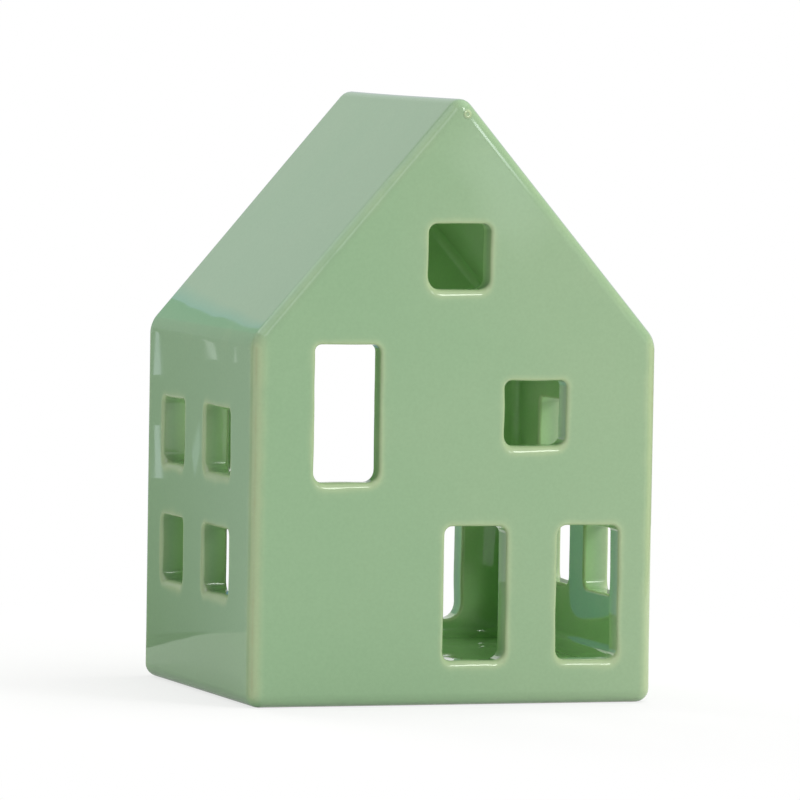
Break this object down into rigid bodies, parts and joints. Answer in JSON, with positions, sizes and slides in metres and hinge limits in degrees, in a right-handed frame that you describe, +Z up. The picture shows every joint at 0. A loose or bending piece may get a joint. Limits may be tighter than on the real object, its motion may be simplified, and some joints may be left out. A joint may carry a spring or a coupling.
{
  "type": "tealight house",
  "caption": "Glazed earthenware house with gable roof, cut window and door openings and an arched opening at the back, holding a tealight on its floor.",
  "frame": {"origin": "centre of the foot's outline, on the surface that the house stands on", "axes": "+Z up, +X to the right across the front gable, +Y from the front gable to the open back"},
  "size_m": [0.1054, 0.092, 0.15],
  "materials": {
    "green_glaze": "glossy sage green glaze, thinner and paler on the edges",
    "cup_aluminium": "bright pressed foil",
    "white_wax": "white paraffin wax, slightly translucent",
    "tin": "bright tin plate",
    "cotton_wick": "waxed braided cotton"
  },
  "bodies": {
    "house": {"house_body": "green_glaze"},
    "tealight": {"tealight_cup": "cup_aluminium"},
    "candle": {"tealight_wax": "white_wax", "wick_sustainer": "tin", "wick": "cotton_wick"}
  },
  "joints": [
    {"name": "tealight_out", "type": "slide", "parent": "house", "child": "tealight", "axis": [0, 0.9781, 0.2079], "range_m": [0, 0.076]},
    {"name": "candle_out", "type": "slide", "parent": "tealight", "child": "candle", "axis": [0, 0, 1], "range_m": [0, 0.02]}
  ]
}
